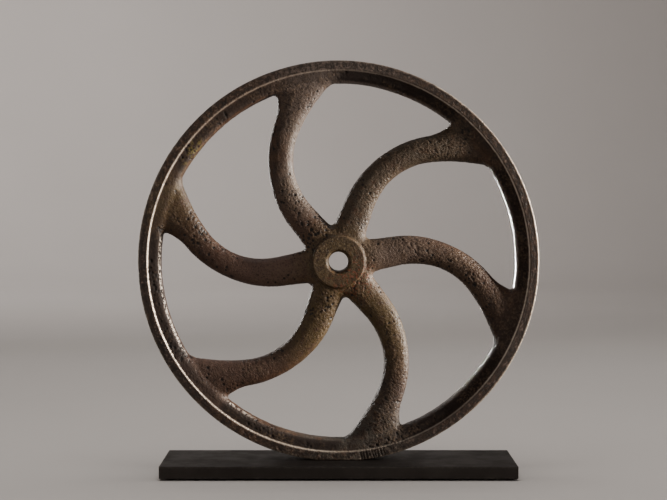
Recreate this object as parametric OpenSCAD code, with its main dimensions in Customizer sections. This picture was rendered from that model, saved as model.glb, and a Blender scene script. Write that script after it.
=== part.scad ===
/* [Rim] */
// Outside diameter of the wheel
wheel_d = 400; // [380:5:420]
// Width of the rim along the axle
rim_w = 26; // [24:1:32]
// Depth of the rim from its outside to the windows
rim_depth = 22; // [20:0.5:26]
// Width of the raised lip at the outer edge of each face
lip_w = 8.5; // [6:0.5:10]
// Height of the lip above the face beside it
lip_step = 1.6; // [0.8:0.1:2.4]
// Slope of the rim's face, falling from the lip towards the windows
face_slope = 11; // [4:1:14]
// Radius along the rim's inner edges
inner_round = 6; // [4:0.5:7]
// Depth of the flat filed on the rim where it seats on the plinth
seat_depth = 1; // [0.5:0.1:2]

/* [Hub] */
// Diameter of the shaft bore
bore_d = 20; // [16:0.5:24]
// Chamfer at each mouth of the bore
bore_chamfer = 2.5; // [1:0.5:3]
// Diameter of the hub's boss
boss_d = 52; // [46:1:56]
// Length of the hub along the axle
hub_l = 38; // [32:1:46]
// Diameter of the web that joins the spokes round the boss
web_d = 70; // [68:1:76]
// Thickness of the web
web_t = 20; // [16:1:24]

/* [Spokes] */
// Direction of the first spoke's root, counter-clockwise from the right
first_spoke = 70; // [0:5:120]
// Width of a spoke near the hub
root_w = 31; // [27:0.5:32]
// Width of a spoke at its narrowest
waist_w = 24.6; // [22:0.2:27]
// Width of a spoke near the rim
tip_w = 29; // [26:0.5:31]
// Thickness of a spoke along the axle
spoke_t = 18; // [15:0.5:19]
// Distance from the axle at which the spokes begin to bend
bend_start = 58; // [54:1:62]
// Radius of the bend along the middle of a spoke
bend_r = 89; // [84:1:94]
// Angle through which a spoke bends
bend_angle = 62; // [56:1:66]

/* [Plinth] */
// Length of the plinth
plinth_l = 352; // [300:2:420]
// Depth of the plinth from front to back
plinth_w = 100; // [90:2:120]
// Thickness of the plinth
plinth_t = 12; // [12:0.5:20]

/* [Fixings and feet] */
// Distance of each fixing screw from the middle of the plinth
screw_x = 14; // [12:0.5:17]
// Length of a fixing screw, head included
screw_l = 25; // [23:1:28]
// Diameter of a foot pad
pad_d = 20; // [12:1:24]
// Thickness of a foot pad
pad_t = 2; // [1:0.5:3]
// Distance from the plinth's edges to the middle of a pad
pad_inset = 18; // [14:1:24]

/* [Hidden] */

$fn = 96;
iron = "#3d322b";
iron_hub = "#4a3e2c";
black = "#161514";
steel = "#8c8f92";
cork = "#6b5138";

// Heights above the surface that the object stands on
plinth_top = pad_t + plinth_t;
wheel_r = wheel_d / 2;
axle_z = plinth_top + wheel_r - seat_depth;

// Rim section: radius across, distance from the wheel's middle plane up
rim_face = rim_w / 2;
window_r = wheel_r - rim_depth;
lip_r = wheel_r - lip_w;
edge_chamfer = 1;
round_middle_r = window_r + inner_round;
face_low = rim_face - lip_step;
shoulder = face_low - (lip_r - lip_step - round_middle_r) * tan(face_slope);

// M8 countersunk socket screws, in holes with this much room round them
screw_d = 8;
head_d = 15.8;
head_edge = 0.4;
head_h = (head_d - screw_d) / 2 + head_edge;
socket_af = 5;
socket_depth = 3;
thread_room = 0.05;
shank_room = 0.5;
thread_depth = 15;
head_sink = 0.2;

// Spoke sweep: rings of points along a straight, an arc and a straight
spoke_count = 6;
spoke_sides = 24;
spoke_rings = 34;
section_power = 2.4;
sweep_start = web_d / 2 - 8;
sweep_past_bend = 54;
straight_l = bend_start - sweep_start;
bend_l = bend_r * bend_angle * PI / 180;
sweep_l = straight_l + bend_l + sweep_past_bend;
waist_at = 0.52;
rim_cover = 4;

// How far the spoke's sides spread into the hub and, by the sweep's buried end, into the rim:
// lead is the side that meets the rim at a sharp angle, trail the other
hub_flare = 2;
hub_flare_reach = 22;
lead_flare = 33;
trail_flare = 9;

over = 1;

// ---- Spoke geometry, with the root along +X and the axle along Z ----

// Heading of the spoke's middle line at distance s along it
function heading(s) =
    s < straight_l ? 0
    : s < straight_l + bend_l ? -(s - straight_l) / bend_l * bend_angle
    : -bend_angle;

// Point of the spoke's middle line at distance s along it
function middle(s) =
    s < straight_l ? [sweep_start + s, 0]
    : s < straight_l + bend_l
        ? [bend_start - bend_r * sin(heading(s)), bend_r * (cos(heading(s)) - 1)]
    : middle(straight_l + bend_l - 0.0001)
        + (s - straight_l - bend_l) * [cos(bend_angle), -sin(bend_angle)];

// 1 at d = 0, falling smoothly to 0 at d = reach
function fade(d, reach) = d >= reach ? 0 : pow(1 - d / reach, 2);

// Half the spoke's width, without flares, at share u of its length
function half_width(u) =
    let (end_w = u < waist_at ? root_w : tip_w,
         away = u < waist_at ? (waist_at - u) / waist_at : (u - waist_at) / (1 - waist_at))
    (waist_w + (end_w - waist_w) * (1 - cos(180 * away)) / 2) / 2;

// Extra half width where a side runs into the hub and the rim
function flare(s, rim_flare) =
    hub_flare * fade(s, hub_flare_reach) + rim_flare * fade(sweep_l - s, sweep_past_bend);

// Keeps the spoke's buried end inside the rim
function inside_rim(p) = norm(p) > wheel_r - rim_cover ? p * (wheel_r - rim_cover) / norm(p) : p;

// One coordinate of a superellipse of unit half width
function rounded(c) = sign(c) * pow(abs(c), 2 / section_power);

// The ring of points round the spoke at distance s
function ring(s) =
    let (half = half_width(s / sweep_l), side = [-sin(heading(s)), cos(heading(s))])
    [for (i = [0:spoke_sides - 1])
        let (a = 360 * i / spoke_sides,
             across = rounded(cos(a)),
             spread = flare(s, across > 0 ? lead_flare : trail_flare),
             p = inside_rim(middle(s) + side * across * (half + spread)))
        [p.x, p.y, rounded(sin(a)) * spoke_t / 2]];

module spoke_sweep() {
    n = spoke_sides;
    points = [for (k = [0:spoke_rings]) each ring(sweep_l * k / spoke_rings)];
    sides = [for (k = [0:spoke_rings - 1], i = [0:n - 1])
        [k * n + i, (k + 1) * n + i, (k + 1) * n + (i + 1) % n, k * n + (i + 1) % n]];
    first_cap = [for (i = [0:n - 1]) i];
    last_cap = [for (i = [n - 1:-1:0]) spoke_rings * n + i];
    polyhedron(points, concat(sides, [first_cap, last_cap]));
}

// ---- Wheel parts, with the axle along Z and the front face up ----

// A section's outline from its upper half, which the lower half mirrors
function both_halves(upper) =
    concat(upper, [for (i = [len(upper) - 1:-1:0]) [upper[i].x, -upper[i].y]]);

module rim_section() {
    flat_half = shoulder - inner_round;
    rounding = [for (a = [180:-15:90])
        [round_middle_r + inner_round * cos(a), flat_half + inner_round * sin(a)]];
    face = [
        [lip_r - lip_step, face_low],
        [lip_r, rim_face],
        [wheel_r - edge_chamfer, rim_face],
        [wheel_r, rim_face - edge_chamfer]
    ];
    polygon(both_halves(concat(rounding, face)));
}

module rim_ring() {
    rotate_extrude($fn = 180) rim_section();
}

// Stands the wheel up on the plinth, front face towards -Y
module upright() {
    translate([0, 0, axle_z]) rotate([90, 0, 0]) children();
}

// ---- Sub-parts ----

module rim() {
    color(iron) difference() {
        upright() rim_ring();
        translate([-wheel_r, -rim_w, plinth_top - wheel_r])
            cube([wheel_d, 2 * rim_w, wheel_r]);
        for (x = [-screw_x, screw_x])
            translate([x, 0, plinth_top - over])
                cylinder(h = thread_depth + over, d = screw_d + 2 * thread_room);
    }
}

module hub() {
    half_l = hub_l / 2;
    boss_r = boss_d / 2;
    boss_edge = 2;
    section = [
        [bore_d / 2, half_l - bore_chamfer],
        [bore_d / 2 + bore_chamfer, half_l],
        [boss_r - boss_edge, half_l],
        [boss_r, half_l - boss_edge],
        [boss_r, web_t / 2],
        [web_d / 2, web_t / 2]
    ];
    color(iron_hub) upright() rotate_extrude() polygon(both_halves(section));
}

module spoke(number) {
    color(iron) upright() difference() {
        rotate(first_spoke + (number - 1) * 360 / spoke_count) spoke_sweep();
        cylinder(h = web_t + 2 * over, d = web_d, center = true);
        rim_ring();
    }
}

module plinth() {
    color(black) difference() {
        translate([-plinth_l / 2, -plinth_w / 2, pad_t]) cube([plinth_l, plinth_w, plinth_t]);
        for (x = [-screw_x, screw_x]) translate([x, 0, pad_t]) {
            translate([0, 0, -over])
                cylinder(h = plinth_t + 2 * over, d = screw_d + 2 * shank_room);
            countersink(head_d + 2 * shank_room);
        }
    }
}

// The cone that a screw's head sits in, with its mouth at z = 0
module countersink(mouth_d) {
    translate([0, 0, -over]) cylinder(h = over + head_edge + head_sink, d = mouth_d);
    translate([0, 0, head_edge + head_sink])
        cylinder(h = mouth_d / 2, d1 = mouth_d, d2 = 0);
}

module fixing_screw(x) {
    color(steel) translate([x, 0, pad_t + head_sink]) difference() {
        union() {
            cylinder(h = head_edge, d = head_d);
            translate([0, 0, head_edge])
                cylinder(h = head_h - head_edge, d1 = head_d, d2 = screw_d);
            cylinder(h = screw_l, d = screw_d);
        }
        translate([0, 0, -over])
            cylinder(h = socket_depth + over, d = socket_af / cos(30), $fn = 6);
    }
}

module foot_pad(side, end) {
    color(cork)
        translate([end * (plinth_l / 2 - pad_inset), side * (plinth_w / 2 - pad_inset), 0])
            cylinder(h = pad_t, d = pad_d);
}

rim();
hub();
spoke(1);  // spoke_1
spoke(2);  // spoke_2
spoke(3);  // spoke_3
spoke(4);  // spoke_4
spoke(5);  // spoke_5
spoke(6);  // spoke_6
plinth();
fixing_screw(-screw_x);  // fixing_screw_left
fixing_screw(screw_x);  // fixing_screw_right
foot_pad(-1, -1);  // foot_pad_front_left
foot_pad(-1, 1);  // foot_pad_front_right
foot_pad(1, -1);  // foot_pad_back_left
foot_pad(1, 1);  // foot_pad_back_right
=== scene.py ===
"""An old spoked iron wheel, standing on its rim on a slim black plinth."""

import math
from functools import partial

import bmesh
import bpy
import numpy as np
import openvdb
from mathutils import Matrix, Vector, kdtree, noise


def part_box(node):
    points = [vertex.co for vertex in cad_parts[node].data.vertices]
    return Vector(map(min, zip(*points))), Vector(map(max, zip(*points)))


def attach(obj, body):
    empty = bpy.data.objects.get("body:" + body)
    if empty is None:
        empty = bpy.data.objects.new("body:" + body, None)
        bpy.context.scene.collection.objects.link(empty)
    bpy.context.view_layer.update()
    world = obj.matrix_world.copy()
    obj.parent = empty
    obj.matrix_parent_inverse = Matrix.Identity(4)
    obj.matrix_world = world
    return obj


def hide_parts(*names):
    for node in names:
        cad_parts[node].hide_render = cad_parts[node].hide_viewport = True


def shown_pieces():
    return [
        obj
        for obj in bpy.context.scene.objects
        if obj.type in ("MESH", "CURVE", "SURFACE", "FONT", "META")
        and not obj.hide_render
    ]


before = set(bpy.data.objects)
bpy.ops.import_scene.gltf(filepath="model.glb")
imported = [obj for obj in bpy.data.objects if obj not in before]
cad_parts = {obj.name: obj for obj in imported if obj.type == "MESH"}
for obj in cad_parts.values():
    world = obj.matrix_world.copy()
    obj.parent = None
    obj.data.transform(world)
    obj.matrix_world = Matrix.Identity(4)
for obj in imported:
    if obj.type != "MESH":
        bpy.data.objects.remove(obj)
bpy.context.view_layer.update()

MM = 0.001

# ---- Driving dimensions in millimetres: places from the CAD nodes, shapes close to the CAD's ----

RIM_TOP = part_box("rim")[1] / MM
HUB_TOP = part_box("hub")[1] / MM
PLINTH_LOW, PLINTH_HIGH = [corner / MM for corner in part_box("plinth")]
WHEEL_R = RIM_TOP.x
RIM_HALF = RIM_TOP.y
AXLE_Z = RIM_TOP.z - WHEEL_R
SEAT_DROP = AXLE_Z - PLINTH_HIGH.z

# Rim
WINDOW_R = WHEEL_R - 22
LIP_R = WHEEL_R - 8.5
LIP_STEP = 1.9
FACE_SLOPE = math.radians(11)
INNER_ROUND = 6
RIM_EDGE = 1.2

# Hub, and the web that joins the spokes round it and thins out into them
HUB_HALF = HUB_TOP.y
BOSS_R = 26
BOSS_EDGE = 1.0
BOSS_FILLET = 2.5
BORE_R = 10
BORE_CHAMFER = 2.5
WEB_R = 34.5
WEB_HALF = 10
WEB_END = 50
WEB_FADE = 16

# Spokes: a straight, an arc and a straight, with flared ends that run into the hub and the rim
SPOKES = 6
FIRST_SPOKE = 70
SPOKE_HALF = 9
ROOT_W = 31
WAIST_W = 24.6
TIP_W = 29
WAIST_AT = 0.52
SWEEP_START = 27
BEND_START = 58
BEND_R = 89
BEND_ANGLE = math.radians(62)
PAST_BEND = 54
SECTION_POWER = 2.4
STRAIGHT_L = BEND_START - SWEEP_START
SWEEP_L = STRAIGHT_L + BEND_R * BEND_ANGLE + PAST_BEND
HUB_FLARE = 2
HUB_FLARE_REACH = 22
LEAD_FLARE = 33
TRAIL_FLARE = 9
SPOKE_FILLET = 4.5
RIM_FILLET = 5
BURIED_START = BOSS_R / 3
BURIED_END = WHEEL_R - 12

# M8 screws and their holes
SCREW_X = 14
SCREW_HOLE_R = 4.05
SCREW_HOLE_DEPTH = 15
SHANK_R = 4
SHANK_HOLE_R = 4.5
HOLE_BEVEL = 0.3
HEAD_R = 7.9
HEAD_EDGE = 0.4
HEAD_BEVEL = 0.15
HEAD_SINK = 0.2
MOUTH_R = 8.4
SOCKET_AF = 5
SOCKET_DEPTH = 3
SOCKET_CHAMFER = 0.2
DRILL_POINT = 1
DRILL_TIP_R = 0.2
PITCH = 1.25
THREAD_DEPTH = 0.68
THREAD_STEPS = 8
TIP_TAPER = 1.2

# Plinth and pads
EASE = 0.6
EASE_STEPS = 3
EDGE_REACH = 2.5
CORNER_R = 1
CORNER_STEPS = 4
ROUND_STEPS = 48
PAD_INSET = 0.1
PAD_FUZZ = 0.09
PAD_TURNS = [math.radians(15 * step) for step in range(13)]
# How far a pad's edge curves in, as a share of its radius
PAD_ROUND = 0.06

# Meshing of the casting: size of a cell, how far the field reaches, and how points are snapped to it
CELL = 0.8
FIELD_REACH = 3 * CELL
SNAP_STEP = 0.02
SNAP_PASSES = 2
LEAST_STEEPNESS = 0.3


# ---- The casting's shape, as a field that is negative inside the metal ----


def smooth_step(value, low, high):
    """0 up to low and 1 from high, with a smooth rise between."""
    share = np.clip((value - low) / (high - low), 0, 1)
    return share * share * (3 - 2 * share)


def fade(gap, reach):
    """1 at gap = 0, falling smoothly to 0 at gap = reach."""
    return np.clip(1 - gap / reach, 0, 1) ** 2


def round_max(a, b, radius):
    """Where both solids overlap, with the edge between them rounded."""
    corner = np.hypot(np.maximum(a + radius, 0), np.maximum(b + radius, 0))
    return np.minimum(np.maximum(a, b), -radius) + corner


def round_min(a, b, radius):
    """Both solids together, with a fillet between them."""
    return -round_max(-a, -b, radius)


def spoke_plan(x, z):
    """Distance past the spoke's side, and half its width, for a spoke whose root lies along +x."""
    swing = np.arctan2(x - BEND_START, z + BEND_R)
    bent = swing >= 0
    past = swing > BEND_ANGLE
    end_x = BEND_START + BEND_R * math.sin(BEND_ANGLE)
    end_z = BEND_R * (math.cos(BEND_ANGLE) - 1)
    past_along = (x - end_x) * math.cos(BEND_ANGLE) - (z - end_z) * math.sin(BEND_ANGLE)
    past_across = (x - end_x) * math.sin(BEND_ANGLE) + (z - end_z) * math.cos(BEND_ANGLE)
    along = np.where(bent, STRAIGHT_L + BEND_R * swing, x - SWEEP_START)
    along = np.where(past, STRAIGHT_L + BEND_R * BEND_ANGLE + past_along, along)
    across = np.where(bent, np.hypot(x - BEND_START, z + BEND_R) - BEND_R, z)
    across = np.where(past, past_across, across)

    share = np.clip(along / SWEEP_L, 0, 1)
    near_root = share < WAIST_AT
    end_w = np.where(near_root, ROOT_W, TIP_W)
    away = np.where(near_root, 1 - share / WAIST_AT, (share - WAIST_AT) / (1 - WAIST_AT))
    half = (WAIST_W + (end_w - WAIST_W) * (1 - np.cos(np.pi * away)) / 2) / 2
    rim_flare = np.where(across > 0, LEAD_FLARE, TRAIL_FLARE)
    half = half + HUB_FLARE * fade(along, HUB_FLARE_REACH) + rim_flare * fade(SWEEP_L - along, PAST_BEND)
    gap = np.abs(across) - half
    behind = BURIED_START - x
    return np.where(behind > 0, np.hypot(np.maximum(gap, 0), behind), gap), half


def all_spokes_plan(x, z):
    """The six spokes and the web, as one outline: distance past its edge, and half the width there."""
    outline = np.hypot(x, z) - WEB_R
    width = np.full_like(x, ROOT_W / 2 + HUB_FLARE)
    for number in range(SPOKES):
        turn = math.radians(FIRST_SPOKE + number * 360 / SPOKES)
        root_x = x * math.cos(turn) + z * math.sin(turn)
        root_z = z * math.cos(turn) - x * math.sin(turn)
        gap, half = spoke_plan(root_x, root_z)
        width = np.where(gap < outline, half, width)
        outline = round_min(outline, gap, SPOKE_FILLET)
    return outline, width


def pillow(outline, width, thickness, depth):
    """A flat shape with a superelliptic section: full in the middle, round along its sides."""
    power = SECTION_POWER
    across = np.maximum(1 + outline / width, 0.001)
    level = depth / thickness
    size = (across**power + level**power) ** (1 / power)
    steepness = np.hypot(
        (across / size) ** (power - 1) / width, (level / size) ** (power - 1) / thickness
    )
    return (size - 1) / steepness


def rim_field(radius, depth):
    """The rim: a band whose faces fall towards the windows, with a raised lip outside."""
    lip_foot = LIP_R - LIP_STEP
    face = RIM_HALF - LIP_STEP - (lip_foot - radius) * math.tan(FACE_SLOPE)
    step = np.clip(radius - lip_foot, 0, LIP_STEP)
    face = np.where(radius > lip_foot, RIM_HALF - LIP_STEP + step, face)
    band = round_max(depth - face, WINDOW_R - radius, INNER_ROUND)
    return round_max(band, radius - WHEEL_R, RIM_EDGE)


def casting_field(x, y, z):
    """The whole casting, from coordinates in millimetres about the middle of its axle."""
    depth = np.abs(y)
    radius = np.hypot(x, z)
    outline, width = all_spokes_plan(x, z)
    thickness = SPOKE_HALF + (WEB_HALF - SPOKE_HALF) * smooth_step(WEB_END - radius, 0, WEB_FADE)
    spokes = np.maximum(pillow(outline, width, thickness, depth), radius - BURIED_END)
    boss = round_max(radius - BOSS_R, depth - HUB_HALF, BOSS_EDGE)
    solid = round_min(rim_field(radius, depth), spokes, RIM_FILLET)
    solid = round_min(solid, boss, BOSS_FILLET)
    mouth = (BORE_R + BORE_CHAMFER + depth - HUB_HALF - radius) / math.sqrt(2)
    solid = np.maximum(solid, np.maximum(BORE_R - radius, mouth))
    solid = np.maximum(solid, -SEAT_DROP - z)
    for side in (-1, 1):
        past_wall = np.hypot(x - side * SCREW_X, y) - SCREW_HOLE_R
        hole = np.maximum(past_wall, z + SEAT_DROP - SCREW_HOLE_DEPTH)
        solid = np.maximum(solid, -hole)
    return solid


def snap(points, field):
    """Moves points near the field's zero surface onto it, which keeps its edges crisp."""
    for _ in range(SNAP_PASSES):
        value = field(*points.T)
        slope = np.empty_like(points)
        for axis in range(3):
            ahead = points.copy()
            ahead[:, axis] += SNAP_STEP
            slope[:, axis] = (field(*ahead.T) - value) / SNAP_STEP
        steepness = np.maximum((slope * slope).sum(axis=1), LEAST_STEEPNESS)
        move = np.clip(value / steepness, -CELL / 2, CELL / 2)
        points = points - slope * move[:, None]
    return points


def field_mesh(name, field, low, high):
    """Meshes the surface where the field is zero, on a grid of cells between two corners."""
    axes = [np.arange(a, b + CELL, CELL, dtype=np.float32) for a, b in zip(low, high)]
    x, y, z = axes[0][:, None, None], axes[1][None, :, None], axes[2][None, None, :]
    values = np.clip(field(x, y, z), -FIELD_REACH, FIELD_REACH).astype(np.float32)
    grid = openvdb.FloatGrid(FIELD_REACH)
    grid.copyFromArray(values)
    points, quads = grid.convertToQuads(0.0)
    points = snap(points.astype(float) * CELL + np.array(low), field)
    mesh = bpy.data.meshes.new(name)
    mesh.vertices.add(len(points))
    mesh.vertices.foreach_set("co", points.astype(np.float32).ravel())
    mesh.loops.add(quads.size)
    mesh.loops.foreach_set("vertex_index", quads.astype(np.int32).ravel())
    mesh.polygons.add(len(quads))
    mesh.polygons.foreach_set("loop_start", np.arange(0, quads.size, 4, dtype=np.int32))
    mesh.update(calc_edges=True)
    return mesh


# ---- Wear and relief on the casting: heights, depths and sizes in millimetres ----

# One seed for all that is random, so that each run gives the same casting
SEED = 7
noise.seed_set(SEED)

# Height and size of the skin's waves, ripples, wrinkles and flakes, and how far it may sink or rise
WAVE, WAVE_SIZE = 0.2, 42
RIPPLE, RIPPLE_SIZE = 0.08, 14
WRINKLE, WRINKLE_SIZE = 0.1, 2.5
FLAKE, FLAKE_SIZE = 0.1, 6.5
SKIN_LOW, SKIN_HIGH = -0.9, 0.6
# How far the wrinkles wander, and how much they grow in rough patches, which are commoner to the right
WRINKLE_BEND, WRINKLE_BEND_SIZE = 1.8, 5
ROUGH_WRINKLE, ROUGH_SIZE = 0.26, 34
ROUGHER_TO_RIGHT = 1 / 400

# Pits: how many are tried, their radii, and the depth that counts as a full one
PIT_TRIES = 60000
PIT_SIZES = (0.7, 1.9)
FULL_PIT = 0.5
# As shares of a pit's radius: its depth, its growth where corrosion is deep, its raggedness and reach
PIT_DEPTH = 0.34
PIT_GROWTH = 0.35
PIT_RAGGED, PIT_RAGGED_SIZE = 0.35, 1.7
PIT_SEARCH = 1.3
# Sizes of the crowds of pits, and the share of tries that are kept outside them and added inside
CROWD_SIZE, CLUSTER_SIZE = 28, 9
LONE_PITS, CROWDED_PITS = 0.01, 0.5
# Where corrosion went deepest, about the middle of the axle: position, and reach
CORRODED = [((-30, -6, 44), 34), ((-176, -6, -20), 70), ((-158, -6, -84), 45), ((-138, -6, 42), 34)]

# The row of file strokes beside the seat: how many, their depth, and their angles in degrees
FILE_STROKES = 9
FILE_DEPTH = 0.45
FILE_FROM = -83.5
FILE_SPACING = 0.85

# How much the lathe and rubbing took off pits and relief, and how bright the rim's corner is rubbed
LATHE_OFF_PITS, LATHE_OFF_RELIEF = 0.6, 0.7
RUBBED_OFF_PITS = 0.9
CORNER_WEAR = 0.75


def vertex_array(collection, name, width):
    """An attribute of every item, as an array with this many columns."""
    values = np.empty(len(collection) * width, np.float32)
    collection.foreach_get(name, values)
    return values.reshape(-1, width)


def corrosion(place):
    """How much the pits crowd round a place, and how near it is to a deeply corroded one, from 0 to 1."""
    patchy = noise.noise(place / CROWD_SIZE) + 0.6 * noise.noise(place / CLUSTER_SIZE)
    deepest = max(0, *(1 - (place - Vector(spot)).length / reach for spot, reach in CORRODED))
    return smooth_step(patchy + 0.45 * deepest, -0.05, 0.55), deepest


def corrosion_pits(points):
    """Depth of the pits at every point: ragged dimples, crowded where corrosion went deep."""
    random = np.random.default_rng(SEED)
    tree = kdtree.KDTree(len(points))
    for index, point in enumerate(points):
        tree.insert(point, index)
    tree.balance()
    depths = np.zeros(len(points))
    chosen = random.integers(0, len(points), PIT_TRIES)
    sizes = PIT_SIZES[0] + (PIT_SIZES[1] - PIT_SIZES[0]) * random.random(PIT_TRIES) ** 3
    luck = random.random(PIT_TRIES)
    for index, size, draw in zip(chosen, sizes, luck):
        centre = Vector(points[index])
        crowding, deepest = corrosion(centre)
        if draw > LONE_PITS + CROWDED_PITS * crowding:
            continue
        size *= 1 + PIT_GROWTH * deepest
        for point, near, distance in tree.find_range(centre, size * PIT_SEARCH):
            edge = size * (1 + PIT_RAGGED * noise.noise(point / PIT_RAGGED_SIZE))
            if distance < edge:
                depth = PIT_DEPTH * size * (1 - (distance / edge) ** 2) ** 1.5
                depths[near] = max(depths[near], depth)
    return depths


def surface_rise(point):
    """Height of the skin above the ideal shape, in two parts: slow waves, and fine wrinkles and flakes."""
    wave = WAVE * noise.noise(point / WAVE_SIZE) + RIPPLE * noise.noise(point / RIPPLE_SIZE)
    bend = noise.noise_vector(point / WRINKLE_BEND_SIZE) * WRINKLE_BEND
    wrinkle = 1 - 2.2 * abs(noise.noise((point + bend) / WRINKLE_SIZE))
    patchy = noise.noise(point / ROUGH_SIZE + Vector((3, 5, 7)))
    rough = smooth_step(patchy + point.x * ROUGHER_TO_RIGHT, -0.3, 0.4)
    flake = smooth_step(noise.noise(point / FLAKE_SIZE + Vector((11, 2, 4))), 0.02, 0.16)
    return wave, (WRINKLE + ROUGH_WRINKLE * rough) * wrinkle + FLAKE * flake


def lip_and_outside(reach):
    """1 on the lip and the rim's outside, and 0 nearer the axle."""
    return smooth_step(reach, LIP_R - 1, LIP_R + 1)


def turned(reach, depth):
    """1 on the lip, the rim's outside and the boss, which were finished on a lathe, and 0 elsewhere."""
    boss = smooth_step(depth, WEB_HALF + 2, WEB_HALF + 5) * smooth_step(BOSS_R + 3 - reach, 0, 2)
    return np.maximum(lip_and_outside(reach), boss)


def lip_face(reach, depth):
    """1 on the lip's flat face."""
    return lip_and_outside(reach) * smooth_step(depth, RIM_HALF - 2.5, RIM_HALF - 0.8)


def rim_shade_and_dirt(reach, outline):
    """1 on the rim's sloping faces under the lip, where painted shade and dirt darken them, and less where
    a spoke joins them.
    """
    slope = smooth_step(reach, WINDOW_R + 1, WINDOW_R + 3.4) * np.clip((LIP_R - 1 - reach) / 1.5, 0, 1)
    return slope * (0.4 + 0.6 * smooth_step(outline, 0, 10))


def lip_edge(reach):
    """1 along the step between the lip and the face beside it, where the iron is rubbed bright."""
    return np.clip(1.4 - np.abs(reach - LIP_R + LIP_STEP / 2) / 0.55, 0, 1)


def outer_edge(reach, depth):
    """1 along the corner between the lip and the rim's outside, which handling has rubbed."""
    outside = smooth_step(reach, WHEEL_R - 1.6, WHEEL_R - 0.5)
    return outside * smooth_step(depth, RIM_HALF - 2, RIM_HALF - 0.9)


def window_edge(reach, depth, outline):
    """1 on the rounded edge between the rim's faces and its windows, where the scale has worn thin; pale
    flakes there also paint a highlight on the left windows.
    """
    edge = smooth_step(WINDOW_R + 2.8 - reach, 0, 1.6) * smooth_step(depth, 3.6, 5.8)
    return edge * smooth_step(outline, 2, 9)


def file_marks(points):
    """Depth of the row of file strokes across the front lip, just beside the seat."""
    turn = np.degrees(np.arctan2(points[:, 2], points[:, 0]))
    reach = np.hypot(points[:, 0], points[:, 2])
    depths = np.zeros(len(points))
    for stroke in range(FILE_STROKES):
        middle = FILE_FROM + stroke * FILE_SPACING
        lean = (reach - LIP_R) * (0.03 + 0.02 * math.sin(5 * stroke))
        width = 0.22 + 0.08 * math.cos(3 * stroke)
        across = np.clip(1 - np.abs(turn - middle - lean) / width, 0, 1)
        depths = np.maximum(depths, across)
    on_lip = smooth_step(reach, LIP_R - 2, LIP_R) * (points[:, 1] < 0)
    return FILE_DEPTH * depths * on_lip


def keep_inside(points):
    """Holds points about the axle within the wheel's radius and the hub's length, and above the seat."""
    inward = np.minimum(1, WHEEL_R / np.hypot(points[:, 0], points[:, 2]))
    points[:, 0] *= inward
    points[:, 2] *= inward
    points[:, 1] = np.clip(points[:, 1], -HUB_HALF, HUB_HALF)
    points[:, 2] = np.maximum(points[:, 2], -SEAT_DROP)
    return points


def weather(mesh):
    """Moves the casting's skin in and out, and records what the material needs to know about it."""
    points = vertex_array(mesh.vertices, "co", 3).astype(float)
    normals = vertex_array(mesh.vertex_normals, "vector", 3).astype(float)
    reach = np.hypot(points[:, 0], points[:, 2])
    depth = np.abs(points[:, 1])
    outline, _ = all_spokes_plan(points[:, 0], points[:, 2])
    lathe = turned(reach, depth)
    bare = lip_edge(reach)
    pits = corrosion_pits(points) * (1 - LATHE_OFF_PITS * lathe) * (1 - RUBBED_OFF_PITS * bare)
    slow, fine = np.array([surface_rise(Vector(point)) for point in points]).T
    fine = fine * (1 - LATHE_OFF_RELIEF * lathe)
    rise = np.clip(slow + fine, SKIN_LOW, SKIN_HIGH) - pits - file_marks(points)
    rise[points[:, 2] < -SEAT_DROP + 0.2] = 0
    skin_points = keep_inside(points + normals * rise[:, None])
    skin_points = (skin_points + (0, 0, AXLE_Z)) * MM
    mesh.vertices.foreach_set("co", skin_points.astype(np.float32).ravel())
    rubbed_corner = CORNER_WEAR * outer_edge(reach, depth) * smooth_step(fine, -0.02, 0.07)
    shares = {
        "pit": pits / FULL_PIT,
        "ridge": 0.4 + fine * 1.6,
        # painted shade and dirt on the rim's sloping faces under the lip
        "shade_and_dirt": rim_shade_and_dirt(reach, outline),
        "edge": np.maximum(bare, rubbed_corner),
        "lip": lip_face(reach, depth),
        "window": window_edge(reach, depth, outline),
        "turned": lathe,
    }
    for name, values in shares.items():
        layer = mesh.attributes.new(name, "FLOAT", "POINT")
        layer.data.foreach_set("value", np.clip(values, 0, 1).astype(np.float32))
    mesh.update()


# ---- Materials: sizes in millimetres, and places on the casting about the middle of its axle ----

RUST_DARK = (0.0155, 0.0064, 0.003)
RUST_LIGHT = (0.036, 0.017, 0.0082)
# Near black: painted shade and dirt on the rim's faces under the lip
DIRT_AND_SHADE = (0.0045, 0.0016, 0.0007)
DARK_SCALE = (0.0055, 0.0034, 0.0027)
PALE_SCALE = (0.075, 0.055, 0.045)
SPECKLE = (0.006, 0.003, 0.0018)
WORN_RIDGE = (0.08, 0.054, 0.033)
LATHE_LINE = (0.06, 0.041, 0.027)
UNDER_FLAKES = (0.006, 0.003, 0.002)
# Pale flakes, which also paint the key lamp's highlight on the left windows' edges
PALE_FLAKE_HIGHLIGHT = (0.36, 0.32, 0.28)
BARE_IRON = (0.36, 0.31, 0.26)
PIT_BLACK = (0.004, 0.002, 0.0012)
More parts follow.
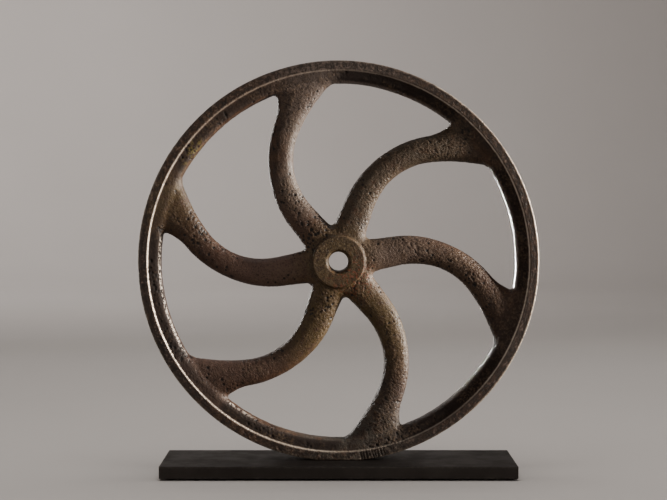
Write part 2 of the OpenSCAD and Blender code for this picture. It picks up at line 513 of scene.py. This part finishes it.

# Hues on the iron, a few of them painted light as marked: colour, reach, the range of noise that breaks it
# up, and its places
IRON_HUES_AND_PAINTED_LIGHT = [
    ((0.011, 0.005, 0.0032), 115, 0.05, 0.35, [(160, -13, -115), (95, -13, -170)]),
    ((0.008, 0.0042, 0.003), 90, 0.1, 0.4, [(-205, -13, -10), (-180, -13, -105)]),
    ((0.03, 0.0255, 0.0205), 90, 0.3, 0.6, [(0, -10, -190), (20, 10, -190)]),
    ((0.064, 0.037, 0.028), 80, 0.18, 0.46, [(-78, -9, 0)]),
    ((0.042, 0.0235, 0.0175), 90, 0.18, 0.46, [(-105, -9, -70)]),
    # Painted sheen: a pale grey patch down the upper left spoke's right flank, where the key lamp's
    # highlight falls
    ((0.068, 0.055, 0.046), 48, 0.2, 0.48, [(-25, -4, 80), (-20, -4, 125)]),
    ((0.038, 0.0238, 0.0076), 75, 0.22, 0.56, [(12, -12, -14), (52, -9, -56), (-14, -9, -60)]),
    ((0.04, 0.026, 0.0095), 60, 0.3, 0.62, [(-160, -10, 50), (0, 19, 0)]),
    ((0.056, 0.038, 0.029), 55, 0.2, 0.5, [(62, -9, 4)]),
    ((0.03, 0.0215, 0.0138), 70, 0.25, 0.55, [(90, -9, 110), (40, -9, 70)]),
    ((0.047, 0.03, 0.019), 55, 0.25, 0.55, [(120, -9, -18)]),
    # Painted light from above: a lighter, greyer lip face at the top of the rim
    ((0.055, 0.042, 0.036), 100, 0.2, 0.5, [(0, -14, 198)]),
    ((0.022, 0.0085, 0.0042), 80, 0.3, 0.6, [(170, -10, 0), (120, -10, -120), (-150, 10, 0)]),
]
# Spots of other colours: place, reach, size of the spots and colour
IRON_SPOTS = [
    ((14, -17, -16), 34, 2.6, (0.1, 0.022, 0.009)),
    ((-138, -12, 104), 24, 4.0, (0.09, 0.072, 0.014)),
    ((0, -19, 0), 42, 4.6, (0.012, 0.0065, 0.003)),
    ((-6, -19, 8), 40, 2.4, (0.085, 0.064, 0.036)),
]
# Where the windows' edge has lost its scale, shown by pale flakes that also paint the key lamp's highlight
# on that side, and how far from there
FLAKES_AND_HIGHLIGHT_PLACES = [(-172, -8, 5), (-168, -8, -60), (-140, -8, -110)]
FLAKES_AND_HIGHLIGHT_REACH = 90
# Where the painted shade and dirt on the rim's faces is lighter
LIGHTER_SHADE_PLACE = (-120, -10, 130)
LIGHTER_SHADE_REACH = 130
# Where the edges of the lip are rubbed brightest
BARE_PLACES = [(-185, -12, 20), (-170, -12, -90), (-110, -12, -155), (150, -12, 125), (192, -12, -40)]
BARE_REACH = 150


class Shader:
    """A material and its node tree, with a method for each kind of node that this scene uses."""

    def __init__(self, name):
        self.material = bpy.data.materials.new(name)
        self.material.use_nodes = True
        self.nodes = self.material.node_tree.nodes
        self.links = self.material.node_tree.links
        self.surface = self.nodes["Principled BSDF"]
        coordinates = self.nodes.new("ShaderNodeTexCoord").outputs["Object"]
        inputs = {0: coordinates, "Scale": 1 / MM}
        self.place = self.node("ShaderNodeVectorMath", inputs, operation="SCALE").outputs[0]

    def put(self, socket, value):
        """Links the socket if the value is another socket, or else sets it."""
        if isinstance(value, bpy.types.NodeSocket):
            self.links.new(value, socket)
        else:
            socket.default_value = value

    def node(self, kind, inputs, **settings):
        """A new node with these inputs and settings."""
        made = self.nodes.new(kind)
        for name, value in settings.items():
            setattr(made, name, value)
        for key, value in inputs.items():
            self.put(made.inputs[key], value)
        return made

    def noise(self, size, detail=3.0, roughness=0.55, distortion=0.0):
        """Noise with features of about this size, from 0 to 1."""
        inputs = {
            "Vector": self.place,
            "Scale": 1 / size,
            "Detail": detail,
            "Roughness": roughness,
            "Distortion": distortion,
        }
        return self.node("ShaderNodeTexNoise", inputs).outputs["Fac"]

    def lathe_marks(self, size):
        """Noise that depends only on the radius and on the distance along the axle: concentric rings."""
        place = self.node("ShaderNodeSeparateXYZ", {0: self.place}).outputs
        up = self.math("SUBTRACT", place["Z"], AXLE_Z)
        flat = self.node("ShaderNodeCombineXYZ", {"X": place["X"], "Y": up}).outputs[0]
        reach = self.node("ShaderNodeVectorMath", {0: flat}, operation="LENGTH").outputs["Value"]
        rings = self.node("ShaderNodeCombineXYZ", {"X": reach, "Y": place["Y"]}).outputs[0]
        inputs = {"Vector": rings, "Scale": 1 / size, "Detail": 2.0}
        return self.node("ShaderNodeTexNoise", inputs).outputs["Fac"]

    def attribute(self, name):
        """A value stored at each vertex of the mesh."""
        return self.node("ShaderNodeAttribute", {}, attribute_name=name).outputs["Fac"]

    def between(self, value, low, high, start=0.0, end=1.0):
        """Turns value into start at low and end at high, smoothly."""
        inputs = {"Value": value, "From Min": low, "From Max": high, "To Min": start, "To Max": end}
        return self.node("ShaderNodeMapRange", inputs, interpolation_type="SMOOTHSTEP").outputs["Result"]

    def math(self, operation, a, b):
        """One operation on two values."""
        return self.node("ShaderNodeMath", {0: a, 1: b}, operation=operation).outputs[0]

    def times(self, product, *factors):
        """All these values multiplied together."""
        for factor in factors:
            product = self.math("MULTIPLY", product, factor)
        return product

    def mix(self, share, a, b):
        """Colour a where share is 0, colour b where it is 1."""
        colour = [value if isinstance(value, bpy.types.NodeSocket) else (*value, 1) for value in (a, b)]
        inputs = {0: share, 6: colour[0], 7: colour[1]}
        return self.node("ShaderNodeMix", inputs, data_type="RGBA").outputs[2]

    def near(self, places, reach):
        """1 close to any of these places about the axle, falling to 0 at this distance from them."""
        total = None
        for x, y, z in places:
            ends = {0: self.place, 1: (x, y, AXLE_Z + z)}
            away = self.node("ShaderNodeVectorMath", ends, operation="DISTANCE").outputs["Value"]
            share = self.between(away, reach, reach * 0.2)
            total = share if total is None else self.math("MAXIMUM", total, share)
        return total

    def bump(self, height, distance, under=None):
        """A bump of this height map, which moves the surface by up to this distance."""
        inputs = {"Height": height, "Distance": distance * MM, "Strength": 1.0}
        if under is not None:
            inputs["Normal"] = under
        return self.node("ShaderNodeBump", inputs).outputs["Normal"]

    def finish(self, colour, roughness, normal, **constants):
        """Gives the surface its colour, roughness and relief, and sets other sockets to constants."""
        self.put(self.surface.inputs["Base Color"], colour)
        self.put(self.surface.inputs["Roughness"], roughness)
        self.put(self.surface.inputs["Normal"], normal)
        for name, value in constants.items():
            self.surface.inputs[name.replace("_", " ")].default_value = value
        return self.material


def rust_hues_and_painted_light(s, mottle, cloud):
    """Dark and light rust, with the patches of other hues on it, among them a painted sheen and painted
    light from above.
    """
    colour = s.mix(s.between(mottle, 0.35, 0.68), RUST_DARK, RUST_LIGHT)
    # Some of these hues are painted light: a sheen on a spoke and a lighter top of the rim
    for hue, reach, low, high, places in IRON_HUES_AND_PAINTED_LIGHT:
        colour = s.mix(s.times(s.near(places, reach), s.between(cloud, low, high)), colour, hue)
    return colour


def lip_scale(s, colour):
    """Flecks of dark and pale scale on the lip's face."""
    scale = s.noise(4.5, detail=5, roughness=0.68)
    dark = s.times(s.attribute("lip"), s.between(scale, 0.46, 0.54, 0.1, 0.85))
    colour = s.mix(dark, colour, DARK_SCALE)
    pale = s.times(s.attribute("lip"), s.between(scale, 0.45, 0.37, 0.0, 0.7))
    return s.mix(pale, colour, PALE_SCALE)


def iron_spots(s, colour):
    """Small spots of rust red, ochre and other colours in a few places."""
    for place, reach, size, hue in IRON_SPOTS:
        spots = s.between(s.noise(size, detail=3), 0.5, 0.64)
        colour = s.mix(s.times(s.near([place], reach), spots, 0.8), colour, hue)
    return colour


def rusty_iron():
    """Waxed old cast iron: brown rust in patches of several hues, rubbed ridges and black pits, with
    painted shade under the rim's lip and painted highlights on a spoke and on the windows' edges.
    """
    s = Shader("rusty_iron")
    mottle = s.noise(11, detail=5)
    grain = s.noise(2.2, detail=4, roughness=0.6, distortion=0.8)
    cloud = s.noise(6, detail=4)
    speckle = s.noise(1.5, detail=3, roughness=0.7)
    marks = s.between(s.lathe_marks(0.7), 0.35, 0.65)
    flakes = s.between(s.noise(2.6, detail=4, roughness=0.7), 0.47, 0.53)

    # Painted shade and dirt on the rim's sloping faces under the lip, weaker towards the upper left
    shade_and_dirt_amount = s.between(s.near([LIGHTER_SHADE_PLACE], LIGHTER_SHADE_REACH), 0, 1, 0.96, 0.78)
    shade_and_dirt = s.times(s.attribute("shade_and_dirt"), shade_and_dirt_amount)
    worn = s.times(s.between(s.attribute("ridge"), 0.55, 0.9), s.between(grain, 0.4, 0.62), 0.42)
    scored = s.times(s.attribute("turned"), marks, s.between(cloud, 0.4, 0.6), 0.2)
    flakes_and_highlight = s.times(s.attribute("window"), s.near(FLAKES_AND_HIGHLIGHT_PLACES, FLAKES_AND_HIGHLIGHT_REACH))
    rubbed = s.between(s.near(BARE_PLACES, BARE_REACH), 0, 0.8, 0.3, 1.0)
    bare = s.times(s.attribute("edge"), s.between(cloud, 0.3, 0.5, 0.5, 0.95), rubbed)

    colour = rust_hues_and_painted_light(s, mottle, cloud)
    # Darkens the rim's faces under the lip with painted shade and dirt
    colour = s.mix(shade_and_dirt, colour, DIRT_AND_SHADE)
    colour = lip_scale(s, colour)
    colour = iron_spots(s, colour)
    colour = s.mix(s.between(speckle, 0.49, 0.34, 0.0, 0.7), colour, SPECKLE)
    colour = s.mix(worn, colour, WORN_RIDGE)
    colour = s.mix(scored, colour, LATHE_LINE)
    # Pale flakes on the left windows' edges: worn scale, and a painted highlight where the key lamp falls
    colour = s.mix(flakes_and_highlight, colour, s.mix(flakes, UNDER_FLAKES, PALE_FLAKE_HIGHLIGHT))
    colour = s.mix(bare, colour, BARE_IRON)
    colour = s.mix(s.between(s.attribute("pit"), 0.15, 0.7), colour, PIT_BLACK)

    dull = s.math("ADD", s.between(grain, 0.3, 0.7, 0.0, 0.1), s.between(mottle, 0.3, 0.7, 0.4, 0.5))
    matt = s.math("ADD", dull, s.times(s.math("MAXIMUM", flakes_and_highlight, shade_and_dirt), 0.34))
    roughness = s.math("SUBTRACT", matt, s.times(bare, 0.12))

    rings = s.bump(s.times(s.attribute("turned"), marks), 0.05)
    relief = s.times(grain, s.between(s.attribute("shade_and_dirt"), 0, 1, 1, 0.35))
    normal = s.bump(speckle, 0.12, s.bump(relief, 0.7, rings))
    s.put(s.surface.inputs["Metallic"], s.times(bare, 0.9))
    return s.finish(colour, roughness, normal, Specular_IOR_Level=0.2)


def black_paint():
    """Satin black paint on steel bar: faint orange peel, dust in clouds and rubbed edges."""
    s = Shader("black_paint")
    dust = s.between(s.noise(38, detail=5), 0.42, 0.72)
    colour = s.mix(dust, (0.0105, 0.007, 0.0053), (0.0175, 0.0138, 0.0112))
    chips = s.between(s.noise(3, detail=5, roughness=0.65), 0.46, 0.66)
    colour = s.mix(s.times(s.attribute("edge"), chips, 0.5), colour, (0.05, 0.044, 0.038))
    roughness = s.between(s.noise(24, detail=4), 0.3, 0.7, 0.5, 0.64)
    normal = s.bump(s.noise(1.6, detail=2), 0.03)
    return s.finish(colour, roughness, normal, Specular_IOR_Level=0.26)


def blackened_steel():
    """Screw steel with a thin black oxide, a little rubbed."""
    s = Shader("blackened_steel")
    colour = s.mix(s.noise(2.5, detail=4), (0.2, 0.2, 0.205), (0.4, 0.395, 0.385))
    roughness = s.between(s.noise(1.2, detail=3), 0.3, 0.7, 0.26, 0.44)
    return s.finish(colour, roughness, s.bump(s.noise(0.5), 0.02), Metallic=1.0)


def felt():
    """Pressed dark felt."""
    s = Shader("felt")
    fibres = s.noise(0.5, detail=5, roughness=0.7, distortion=1.5)
    colour = s.mix(fibres, (0.026, 0.022, 0.019), (0.085, 0.074, 0.064))
    roughness = s.between(fibres, 0.3, 0.7, 0.9, 1.0)
    return s.finish(colour, roughness, s.bump(fibres, 0.3), Sheen_Weight=0.4)


def pale_paper():
    """The backdrop's matt paper."""
    s = Shader("pale_paper")
    colour = s.mix(s.noise(400, detail=2), (0.42, 0.39, 0.37), (0.45, 0.42, 0.4))
    return s.finish(colour, 0.9, s.bump(s.noise(2), 0.02))


# ---- Pieces ----


def add_piece(name, mesh, material, slot, *nodes):
    """Shows a mesh in place of the CAD nodes it stands for."""
    piece = bpy.data.objects.new(name, mesh)
    bpy.context.collection.objects.link(piece)
    mesh.materials.append(material)
    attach(piece, "root")
    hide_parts(*nodes)
    return piece


def casting():
    """The wheel: one iron casting of rim, hub and spokes."""
    margin = 2
    low = (-WHEEL_R - margin, -HUB_HALF - margin, -WHEEL_R - margin)
    high = (WHEEL_R + margin, HUB_HALF + margin, WHEEL_R + margin)
    mesh = field_mesh("casting", casting_field, low, high)
    weather(mesh)
    mesh.shade_smooth()
    nodes = ["rim", "hub"] + [f"spoke_{number + 1}" for number in range(SPOKES)]
    return add_piece("casting", mesh, rusty_iron(), "casting", *nodes)


def circle(x, y, z, radius):
    """Points round a level circle, whose radius is a number or a function of the angle."""
    turns = [math.tau * step / ROUND_STEPS for step in range(ROUND_STEPS)]
    radii = [radius(turn) if callable(radius) else radius for turn in turns]
    return [(x + r * math.cos(turn), y + r * math.sin(turn), z) for r, turn in zip(radii, turns)]


def rounded_outline(half_x, half_y, radius, z):
    """Points round a level rectangle with round corners."""
    points = []
    for quarter, (side_x, side_y) in enumerate(((1, 1), (-1, 1), (-1, -1), (1, -1))):
        for step in range(CORNER_STEPS + 1):
            turn = math.radians(90) * (quarter + step / CORNER_STEPS)
            x = side_x * (half_x - radius) + radius * math.cos(turn)
            y = side_y * (half_y - radius) + radius * math.sin(turn)
            points.append((x, y, z))
    return points


def skin(made, rings):
    """Joins a stack of rings with the same number of points by smooth quads."""
    loops = [[made.verts.new(Vector(point) * MM) for point in ring] for ring in rings]
    for ring, above in zip(loops, loops[1:]):
        for index in range(len(ring)):
            face = made.faces.new((ring[index - 1], ring[index], above[index], above[index - 1]))
            face.smooth = True
    return loops


def cap(made, loops):
    """Closes the flat surface between an outline and the holes in it."""
    edges = []
    for loop in loops:
        edges += [made.edges.get((loop[index - 1], loop[index])) for index in range(len(loop))]
    bmesh.ops.triangle_fill(made, use_beauty=True, use_dissolve=False, edges=edges)


def to_mesh(name, made):
    """Turns a finished bmesh into a mesh whose faces all look outwards."""
    bmesh.ops.recalc_face_normals(made, faces=made.faces)
    mesh = bpy.data.meshes.new(name)
    made.to_mesh(mesh)
    made.free()
    return mesh


def closed_stack(name, rings):
    """A mesh of a stack of rings that is closed at both ends."""
    made = bmesh.new()
    loops = skin(made, rings)
    made.faces.new(loops[0])
    made.faces.new(loops[-1])
    return to_mesh(name, made)


def plinth_profile():
    """The bar's side from bottom to top: inset, height, and 1 where its edge is eased and rubbed."""
    low, high = PLINTH_LOW.z, PLINTH_HIGH.z
    profile = [(EDGE_REACH, low, 0)]
    for step in range(EASE_STEPS + 1):
        turn = math.radians(90) * step / EASE_STEPS
        profile.append((EASE * (1 - math.sin(turn)), low + EASE * (1 - math.cos(turn)), 1))
    profile.append((0, low + EDGE_REACH, 0))
    return profile + [(inset, low + high - z, wear) for inset, z, wear in reversed(profile)]


def plinth_hole(x):
    """Rings up the wall of a countersunk hole through the bar."""
    low, high = PLINTH_LOW.z, PLINTH_HIGH.z
    mouth_z = low + HEAD_SINK + HEAD_EDGE
    stack = [
        (MOUTH_R + HOLE_BEVEL, low),
        (MOUTH_R, low + HOLE_BEVEL),
        (MOUTH_R, mouth_z),
        (SHANK_HOLE_R, mouth_z + MOUTH_R - SHANK_HOLE_R),
        (SHANK_HOLE_R, high - HOLE_BEVEL),
        (SHANK_HOLE_R + HOLE_BEVEL, high),
    ]
    return [circle(x, 0, z, radius) for radius, z in stack]


def plinth():
    """The steel bar, with eased edges and two countersunk holes through it."""
    made = bmesh.new()
    edge = made.verts.layers.float.new("edge")
    profile = plinth_profile()
    rings = []
    for inset, z, _ in profile:
        corner = max(CORNER_R - inset, 0.2)
        rings.append(rounded_outline(PLINTH_HIGH.x - inset, PLINTH_HIGH.y - inset, corner, z))
    outline = skin(made, rings)
    for loop, (_, _, wear) in zip(outline, profile):
        for vert in loop:
            vert[edge] = wear
    holes = [skin(made, plinth_hole(side * SCREW_X)) for side in (-1, 1)]
    cap(made, [outline[0]] + [hole[0] for hole in holes])
    cap(made, [outline[-1]] + [hole[-1] for hole in holes])
    return add_piece("steel_plinth", to_mesh("steel_plinth", made), black_paint(), "plinth", "plinth")


def hexagon(turn, beyond=0.0):
    """Distance from the middle of the hex socket to its wall, or beyond it, in the direction of turn."""
    return SOCKET_AF / 2 / math.cos((turn + math.pi / 6) % (math.pi / 3) - math.pi / 6) + beyond


def thread(turn, up, neck, length):
    """The shank's radius at an angle and height: a groove that winds round it, and a tapered tip."""
    run_in = smooth_step(up, neck + 0.5, neck + 2.5)
    phase = (up / PITCH - turn / math.tau) % 1
    groove = min(max(1.2 * (1 - abs(2 * phase - 1)) - 0.1, 0), 1)
    tip = max(0, 1 - (length - up) / TIP_TAPER)
    return SHANK_R - THREAD_DEPTH * max(groove * run_in, tip)


def screw(name, x, material):
    """A countersunk M8 screw: hex socket in the head, conical seat and a cut thread."""
    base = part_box(name)[0].z / MM
    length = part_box(name)[1].z / MM - base
    neck = HEAD_EDGE + HEAD_R - SHANK_R
    # Height above the head's face, and the radius there
    sections = [
        (SOCKET_DEPTH + DRILL_POINT, DRILL_TIP_R),
        (SOCKET_DEPTH, hexagon),
        (SOCKET_CHAMFER, hexagon),
        (0, partial(hexagon, beyond=SOCKET_CHAMFER)),
        (0, HEAD_R - HEAD_BEVEL),
        (HEAD_BEVEL, HEAD_R),
        (HEAD_EDGE, HEAD_R),
        (neck, SHANK_R),
    ]
    cuts = int((length - neck) / PITCH * THREAD_STEPS)
    for cut in range(1, cuts + 1):
        up = neck + (length - neck) * cut / cuts
        sections.append((up, partial(thread, up=up, neck=neck, length=length)))
    mesh = closed_stack(name, [circle(x, 0, base + up, radius) for up, radius in sections])
    mesh.set_sharp_from_angle(angle=math.radians(32))
    return add_piece("m8_" + name, mesh, material, "screw", name)


def fuzzy(turn, share, radius, z):
    """A felt pad's radius at an angle and height, as this share of its full radius, a little uneven."""
    spot = Vector((3 * math.cos(turn), 3 * math.sin(turn), z * 0.7)) * 3
    return share * (radius - PAD_INSET + PAD_FUZZ * noise.noise(spot))


def foot_pad(name, material):
    """A round felt pad with a soft, slightly fuzzy edge."""
    low, high = [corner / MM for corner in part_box(name)]
    middle = (low + high) / 2
    radius = (high.x - low.x) / 2
    # Shares of the radius and of the thickness, from the lower face round the edge to the upper
    edge = [(1 - PAD_ROUND * (1 - math.sin(turn)), 0.5 - 0.5 * math.cos(turn)) for turn in PAD_TURNS]
    rings = []
    for share, up in [(0.25, 0), (0.6, 0), *edge, (0.6, 1), (0.25, 1)]:
        z = low.z + (high.z - low.z) * up
        outline = partial(fuzzy, share=share, radius=radius, z=z)
        rings.append(circle(middle.x, middle.y, z, outline))
    return add_piece("felt_" + name, closed_stack(name, rings), material, "pad", name)


casting()
plinth()
steel = blackened_steel()
screw("fixing_screw_left", -SCREW_X, steel)
screw("fixing_screw_right", SCREW_X, steel)
dark_felt = felt()
for pad_name in [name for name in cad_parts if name.startswith("foot_pad")]:
    foot_pad(pad_name, dark_felt)


# ---- Stage, lights and camera, in metres ----

MIDDLE = (0, 0, AXLE_Z * MM)

FLOOR_R = 3.2
FLOOR_CURVE = 1.2
CURVE_STEPS = 12
WALL_TOP = 4.5
BACKDROP_SIDES = 96

# One lamp over each quarter of the wall, the brightest over the part behind the wheel
WASH_POWERS = (52, 34, 34, 34)
WASH_AT = Vector((-0.9, 1.6, 2.6))
WASH_AIM = Vector((-1.3, 4.4, 0.8))

CAMERA_AT = (-0.005, -1.575, 0.2827)
CAMERA_PITCH = math.radians(-2.127)
LENS = 84.7


def backdrop():
    """A pale round floor whose edge curves up into a low wall."""
    profile = [(0.0, 0.0), (FLOOR_R, 0.0)]
    for step in range(1, CURVE_STEPS + 1):
        turn = math.radians(90) * step / CURVE_STEPS
        profile.append((FLOOR_R + FLOOR_CURVE * math.sin(turn), FLOOR_CURVE * (1 - math.cos(turn))))
    profile.append((FLOOR_R + FLOOR_CURVE, WALL_TOP))
    made = bmesh.new()
    spine = [made.verts.new((radius, 0, z)) for radius, z in profile]
    geometry = spine + [made.edges.new(pair) for pair in zip(spine, spine[1:])]
    bmesh.ops.spin(
        made, geom=geometry, axis=(0, 0, 1), cent=(0, 0, 0), steps=BACKDROP_SIDES, angle=math.tau
    )
    bmesh.ops.remove_doubles(made, verts=made.verts, dist=0.0001)
    mesh = to_mesh("backdrop", made)
    mesh.shade_smooth()
    mesh.materials.append(pale_paper())
    floor = bpy.data.objects.new("backdrop", mesh)
    bpy.context.collection.objects.link(floor)
    return floor


def light_group(name, *lit_objects):
    """A collection of the objects that a lamp may be limited to."""
    group = bpy.data.collections.new(name)
    for lit_object in lit_objects:
        group.objects.link(lit_object)
    return group


def area_light(name, at, aim, size, power, colour, spread, only):
    """A rectangular lamp at a place, aimed at another, which lights only one group of objects."""
    light = bpy.data.lights.new(name, "AREA")
    light.shape = "RECTANGLE"
    light.size, light.size_y = size
    light.energy = power
    light.color = colour
    light.spread = math.radians(spread)
    lamp = bpy.data.objects.new(name, light)
    lamp.location = at
    lamp.rotation_euler = (Vector(aim) - Vector(at)).to_track_quat("-Z", "Y").to_euler()
    lamp.visible_camera = False
    lamp.light_linking.receiver_collection = only
    bpy.context.collection.objects.link(lamp)


lit = light_group("all_pieces", *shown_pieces())
iron = light_group("iron_pieces", bpy.data.objects["casting"])
stage = light_group("stage", backdrop())
area_light("key_right", (1.5, -0.2, 0.42), MIDDLE, (0.14, 0.5), 104, (1.0, 0.9, 0.79), 160, iron)
area_light("key_behind", (1.5, 0.48, 0.4), MIDDLE, (0.14, 0.5), 52, (1.0, 0.92, 0.83), 160, iron)
area_light("fill_front", (0.6, -1.6, 0.5), MIDDLE, (0.4, 0.4), 4.4, (1.0, 0.88, 0.75), 160, lit)
area_light("fill_left", (-0.7, -0.45, 0.35), MIDDLE, (0.2, 0.5), 0.9, (1.0, 0.92, 0.86), 160, lit)
area_light("edge_left", (-0.55, 0.6, 0.3), MIDDLE, (0.1, 0.5), 2.4, (1.0, 0.96, 0.92), 100, iron)
area_light("edge_right", (-0.3, 1.2, 0.3), (0.25, 0, 0.27), (0.1, 0.2), 1.9, (1.0, 0.96, 0.92), 13, iron)
area_light("soft_top", (0.0, 0.1, 2.4), (0, 0, 0), (1.8, 1.8), 14, (1.0, 0.98, 0.96), 120, lit)
area_light("floor_wash", (0.0, 0.0, 2.6), (0, 0, 0), (2.4, 2.4), 52, (1.0, 0.98, 0.95), 150, stage)
for quarter, power in enumerate(WASH_POWERS):
    turn = Matrix.Rotation(math.radians(90) * quarter, 3, "Z")
    at, aim = turn @ WASH_AT, turn @ WASH_AIM
    area_light("wall_wash", at, aim, (1.5, 0.6), power, (1.0, 0.97, 0.95), 130, stage)

world = bpy.data.worlds.new("studio")
world.use_nodes = True
world.node_tree.nodes["Background"].inputs["Color"].default_value = (0.62, 0.6, 0.58, 1)
world.node_tree.nodes["Background"].inputs["Strength"].default_value = 0.05
bpy.context.scene.world = world

camera = bpy.data.objects.new("camera", bpy.data.cameras.new("camera"))
camera.data.lens = LENS
camera.data.clip_start = 0.05
camera.location = CAMERA_AT
camera.rotation_euler = (math.radians(90) + CAMERA_PITCH, 0, 0)
bpy.context.collection.objects.link(camera)
bpy.context.scene.camera = camera
